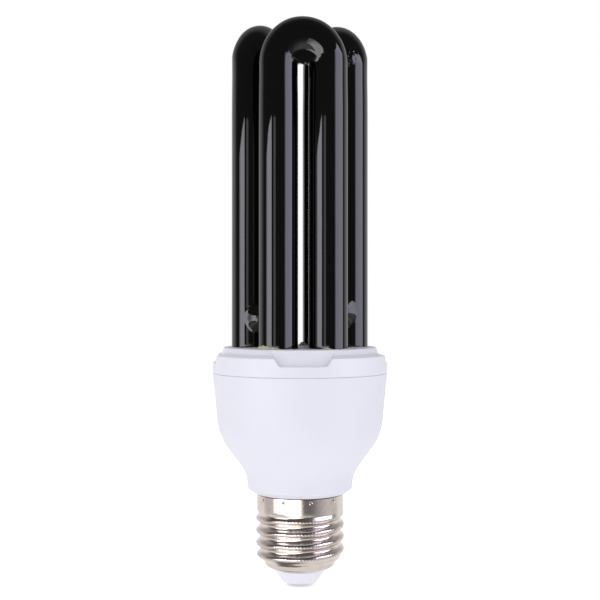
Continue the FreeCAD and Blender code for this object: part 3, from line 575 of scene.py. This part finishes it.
def pull_bridge(rings, centre, towards, level):
    """Draws a leg's wall to the middle of the gap, so that two legs meet in a waisted neck."""
    gap = towards - centre
    distance = np.linalg.norm(gap)
    along = gap / distance
    side = np.array((-along[1], along[0]))
    offset = rings[..., :2] - centre
    forward = offset @ along
    arc = TUBE_RADIUS * np.arctan2(offset @ side, forward)
    spread = np.hypot(arc, rings[..., 2] - level)
    pull = 1 - smooth_step(spread, BRIDGE_CORE, BRIDGE_FLARE)
    push = (distance / 2 + BRIDGE_OVERLAP - forward) * pull
    rings[..., :2] += push[..., None] * along


def ripple(grid):
    """Slow unevenness of glass worked by hand, from -1 to 1."""
    x, y, z = (grid[..., i] / MM for i in range(3))
    by_x = np.sin(RIPPLE_X * x + RIPPLE_X_BY_Z * z)
    by_y = np.sin(RIPPLE_Y * y + RIPPLE_Y_BY_Z * z + RIPPLE_Y_START)
    return by_x * by_y * np.sin(RIPPLE_Z * z + RIPPLE_Z_START)


def upright_block(centre, outward, size, foot):
    """Corners and faces of an upright block set square to the lamp's radius."""
    across = np.array((-outward[1], outward[0]))
    points = []
    for z in (foot, foot + size[2]):
        for a, b in ((-1, -1), (1, -1), (1, 1), (-1, 1)):
            plan = centre + outward * a * size[0] / 2 + across * b * size[1] / 2
            points.append((plan[0], plan[1], z))
    faces = [(3, 2, 1, 0), (4, 5, 6, 7)]
    faces += [(0, 1, 5, 4), (1, 2, 6, 5), (2, 3, 7, 6), (3, 0, 4, 7)]
    return points, faces


def glass_tube(material):
    """The whole sealed tube: three Us, the necks drawn between them and the pinched ends."""
    grids, legs = {}, {}
    for name in U_ANGLES:
        grids[name], legs[name] = u_grid(name)
    for first, second, height in BRIDGES:
        for here, there in ((first, second), (second, first)):
            rings = grids[here[0]][legs[here[0]][here[1]]]
            pull_bridge(rings, leg_place(*here), leg_place(*there), COVER_TOP + height)
    points, faces = [], []
    for grid in grids.values():
        bent = smooth_step(grid[..., 2], RIPPLE_START, RIPPLE_FULL)
        grid[..., 2] += RIPPLE_HEIGHT * bent * ripple(grid)
        first = len(points)
        last = first + (len(grid) - 1) * RING_POINTS
        points.extend(grid.reshape(-1, 3))
        faces += grid_faces(len(grid), RING_POINTS, first)
        faces.append(tuple(range(first + RING_POINTS - 1, first - 1, -1)))
        faces.append(tuple(range(last, last + RING_POINTS)))
    for leg in ELECTRODE_LEGS:
        centre = leg_place(*leg)
        outward = centre / np.linalg.norm(centre)
        corners, sides = upright_block(centre, outward, PINCH_SIZE, LEG_FOOT - PINCH_LENGTH)
        faces += [tuple(len(points) + i for i in side) for side in sides]
        points.extend(corners)
    make_piece("glass_tube", points, faces, "discharge_tube", material)


def bead_size(around, shift, lumps):
    """Uneven size of a bead of cement round its leg."""
    size = np.full_like(around, CEMENT_MEAN)
    for count, height, turn in CEMENT_WAVES:
        size += height * np.sin(count * around + turn * shift)
    size = np.clip(size, CEMENT_LEAST, None)
    grain = 1 + LUMP_GRAIN_HEIGHT * np.sin(LUMP_GRAINS * around)
    for angle, spread, growth in lumps:
        apart = np.angle(np.exp(1j * (around - math.radians(angle))))
        size += growth * np.exp(-((apart / math.radians(spread)) ** 2)) * grain
    return size


def cement_ring(centre, shift, lumps):
    """Ring of cement round one leg, from its socket's foot to an uneven bead on the cover."""
    around = np.linspace(0, 2 * math.pi, CEMENT_POINTS, endpoint=False)
    size = bead_size(around, shift, lumps)
    rows = [(TUBE_RADIUS, SOCKET_FOOT)]
    for turn in np.linspace(0, math.pi / 2, CEMENT_ROWS):
        radius = TUBE_RADIUS + CEMENT_WIDTH * size * math.sin(turn)
        rows.append((radius, COVER_TOP + CEMENT_HEIGHT * size * math.cos(turn)))
    rows.append((SOCKET_RADIUS, COVER_TOP))
    rows.append((SOCKET_RADIUS, SOCKET_FOOT))
    grid = []
    for radius, level in rows:
        x = centre[0] + radius * np.cos(around)
        y = centre[1] + radius * np.sin(around)
        grid.append(np.stack((x, y, level + 0 * around), axis=-1))
    return np.array(grid)


def cement_beads(material):
    """Six rings of cement, one round each leg."""
    points, faces = [], []
    legs = [(name, side) for name in U_ANGLES for side in (-1, 1)]
    for number, leg in enumerate(legs):
        lumps = CEMENT_LUMPS.get(leg, ())
        grid = cement_ring(leg_place(*leg), number * CEMENT_SHIFT, lumps)
        faces += grid_faces(len(grid), CEMENT_POINTS, len(points), closed_rows=True)
        points.extend(grid.reshape(-1, 3))
    make_piece("cement_beads", points, faces, "tube_cement", material)


def finish_nodes():
    """Materials of the part's nodes that stay."""
    white = moulded_plastic("white_plastic", WHITE_COLOURS, WHITE_GLOSS, 0.10, SEAM_SHADE)
    jointed = moulded_plastic(
        "white_plastic_jointed", WHITE_COLOURS, WHITE_GLOSS, 0.10, JOINT_SHADE
    )
    insulator = moulded_plastic("cap_plastic", INSULATOR_COLOURS, INSULATOR_GLOSS, 0.05)
    contact = worked("contact_metal", (0.55, 0.47, 0.33), (0.40, 0.34, 0.25), 0.35, metallic=1.0)
    board = worked("phenolic_board", (0.42, 0.28, 0.12), (0.34, 0.22, 0.09), 0.5)
    shrunk = worked("shrink_sleeve", (0.02, 0.03, 0.09), (0.03, 0.045, 0.12), 0.3)
    ferrite = worked("ferrite", (0.035, 0.034, 0.036), (0.07, 0.068, 0.07), 0.6)
    black = worked("black_moulding", (0.012, 0.012, 0.013), (0.025, 0.025, 0.026), 0.45)
    copper = wound_copper()
    dip = worked("resin_dip", (0.42, 0.06, 0.03), (0.30, 0.04, 0.02), 0.25, grain=600.0)
    coat = worked("resistor_coat", (0.55, 0.42, 0.26), (0.45, 0.33, 0.20), 0.4)
    tinned = worked("tinned_wire", (0.62, 0.62, 0.64), (0.50, 0.50, 0.52), 0.3, metallic=1.0)
    sleeve = worked("wire_sleeve", (0.74, 0.74, 0.72), (0.66, 0.66, 0.64), 0.5)
    finishes = {
        "tube_cover": white,
        "ballast_housing": jointed,
        "screw_shell": nickel(),
        "cap_insulator": insulator,
        "centre_contact": contact,
        "circuit_board": board,
        "smoothing_capacitor": shrunk,
        "choke_core": ferrite,
        "drive_toroid": ferrite,
        "choke_bobbin": black,
        "transistors": black,
        "rectifier_diodes": black,
        "choke_winding": copper,
        "toroid_windings": copper,
        "trigger_diac": dip,
        "film_capacitors": dip,
        "resonant_capacitor": dip,
        "resistors": coat,
        "fuse_resistor": coat,
        "wrap_posts": tinned,
        "tube_leads": tinned,
        "shell_lead": sleeve,
        "contact_lead": sleeve,
    }
    for node, material in finishes.items():
        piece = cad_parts[node]
        piece.data.materials.clear()
        piece.data.materials.append(material)


def reflection_card(name, ends, heights, radiance, colour=WHITE):
    """Upright card that shows in gloss, with an azimuth and a distance for each end."""
    corners = []
    for azimuth, distance in ends:
        angle = math.radians(azimuth + CAMERA_AZIMUTH)
        x, y = distance * math.sin(angle), -distance * math.cos(angle)
        corners.append(Vector((x, y, sum(heights) / 2)))
    along = corners[1] - corners[0]
    light = bpy.data.lights.new(name, "AREA")
    light.shape = "RECTANGLE"
    light.size = along.length
    light.size_y = heights[1] - heights[0]
    light.energy = radiance * CARD_WATTS * light.size * light.size_y
    light.color = colour
    card = bpy.data.objects.new(name, light)
    card.location = (corners[0] + corners[1]) / 2
    card.rotation_euler = Vector((0, 0, 1)).cross(along).to_track_quat("-Z", "Y").to_euler()
    card.visible_camera = False
    card.visible_diffuse = False
    bpy.context.scene.collection.objects.link(card)


def soft_card(name, firm_end, soft_ends, heights, radiance, colour=WHITE):
    """Card that fades out at one side: a few cards over each other, each with its own end."""
    for number, end in enumerate(soft_ends):
        ends = sorted((firm_end, end))
        reflection_card(f"{name}_{number}", ends, heights, radiance / len(soft_ends), colour)


def card_tip():
    """Top of the right card, which narrows in steps."""
    step_height = TIP_HEIGHT / TIP_STEPS
    for step in range(TIP_STEPS):
        share = (step + 0.5) / TIP_STEPS
        sides = (RIGHT_SOFT[-1], RIGHT_FIRM)
        ends = [(side + (TIP_AZIMUTH - side) * share, RIGHT_DISTANCE) for side in sides]
        foot = TIP_FOOT + step_height * step
        heights = (foot, foot + step_height)
        reflection_card(f"right_tip_{step}", ends, heights, RIGHT_RADIANCE, RIGHT_TINT)


def background(tree, strength):
    """World background of one strength, or of a linked one."""
    node = tree.nodes.new("ShaderNodeBackground")
    node.inputs["Color"].default_value = (1, 1, 1, 1)
    if isinstance(strength, float):
        node.inputs["Strength"].default_value = strength
    else:
        tree.links.new(strength, node.inputs["Strength"])
    return node.outputs["Background"]


def mixed(tree, factor, first, second):
    """Shader that is the second where the factor is 1."""
    node = tree.nodes.new("ShaderNodeMixShader")
    tree.links.new(factor, node.inputs["Fac"])
    tree.links.new(first, node.inputs[1])
    tree.links.new(second, node.inputs[2])
    return node.outputs["Shader"]


def room():
    """White room, dimmer to the right. Gloss sees it dark in front, light behind and below."""
    world = bpy.data.worlds.new("room")
    bpy.context.scene.world = world
    world.use_nodes = True
    tree = world.node_tree
    way = tree.nodes.new("ShaderNodeTexCoord").outputs["Generated"]
    x, y, z = axes_of(tree, way)
    back = ranged(tree, y, *FRONT_TO_BACK, *BACK_EDGE)
    back = combined(tree, "MULTIPLY", back, ranged(tree, z, *BACK_FADE, *BACK_FADE_EDGE))
    aside = combined(tree, "MULTIPLY", x, x)
    side = ranged(tree, aside, *LOW_FRONT_TO_SIDE, *LOW_SIDE_EDGE)
    low = ranged(tree, z, 1.0, 0.0, *LOW_EDGE)
    below = ranged(tree, z, *FLOOR_TO_FRONT, *FLOOR_EDGE)
    reflected = combined(tree, "MAXIMUM", back, combined(tree, "MULTIPLY", side, low))
    reflected = combined(tree, "MAXIMUM", reflected, below)
    near_spot = compared(tree, "DOT_PRODUCT", way, DARK_SPOT)
    spot = ranged(tree, near_spot, 1.0, DARK_SPOT_LEVEL, *DARK_SPOT_EDGE)
    reflected = background(tree, combined(tree, "MULTIPLY", reflected, spot))
    lit = background(tree, ranged(tree, x, *LIT_ROOM, -1.0, 1.0))
    path = tree.nodes.new("ShaderNodeLightPath")
    shader = mixed(tree, path.outputs["Is Diffuse Ray"], reflected, lit)
    shader = mixed(tree, path.outputs["Is Camera Ray"], shader, background(tree, 1.0))
    tree.links.new(shader, tree.nodes["World Output"].inputs["Surface"])


def studio():
    """The room and its cards: one on each side, a thin strip and a far low one for the cap."""
    room()
    right_firm = (RIGHT_FIRM, RIGHT_DISTANCE)
    right_soft = [(azimuth, RIGHT_DISTANCE) for azimuth in RIGHT_SOFT]
    right_heights = (RIGHT_FOOT, TIP_FOOT)
    soft_card("right_card", right_firm, right_soft, right_heights, RIGHT_RADIANCE, RIGHT_TINT)
    card_tip()
    soft_card("left_card", LEFT_FIRM, LEFT_SOFT, LEFT_HEIGHTS, LEFT_RADIANCE, LEFT_TINT)
    reflection_card("strip_card", STRIP_ENDS, STRIP_HEIGHTS, STRIP_RADIANCE)
    soft_card("low_card", FAR_FIRM, FAR_SOFT, FAR_HEIGHTS, FAR_RADIANCE)


def floor():
    """Plain pale floor."""
    bpy.ops.mesh.primitive_circle_add(
        vertices=FLOOR_POINTS, radius=FLOOR_RADIUS, fill_type="NGON", location=(0, 0, -FLOOR_DROP)
    )
    ground = bpy.context.object
    ground.name = "floor"
    material, tree, shader, place = new_material("pale_floor")
    mixed_colour(tree, shader, noise_node(tree, place, scale=40.0), *FLOOR_COLOURS)
    shader.inputs["Roughness"].default_value = 0.9
    shader.inputs["Emission Color"].default_value = (1, 1, 1, 1)
    shader.inputs["Emission Strength"].default_value = FLOOR_GLOW
    ground.data.materials.append(material)
    ground.visible_glossy = False


def camera():
    """Level camera at the photo's viewing angle."""
    angle = math.radians(CAMERA_AZIMUTH)
    data = bpy.data.cameras.new("camera")
    data.lens = CAMERA_LENS
    data.sensor_width = SENSOR_WIDTH
    data.clip_start = CLIP_START
    view = bpy.data.objects.new("camera", data)
    x, y = CAMERA_DISTANCE * math.sin(angle), -CAMERA_DISTANCE * math.cos(angle)
    view.location = (x, y, CAMERA_HEIGHT)
    view.rotation_euler = (math.pi / 2, 0, angle)
    bpy.context.scene.collection.objects.link(view)
    bpy.context.scene.camera = view
    bpy.context.scene.view_settings.view_transform = "Standard"


glass_tube(black_glass())
cement_beads(cement())
finish_nodes()
studio()
floor()
camera()
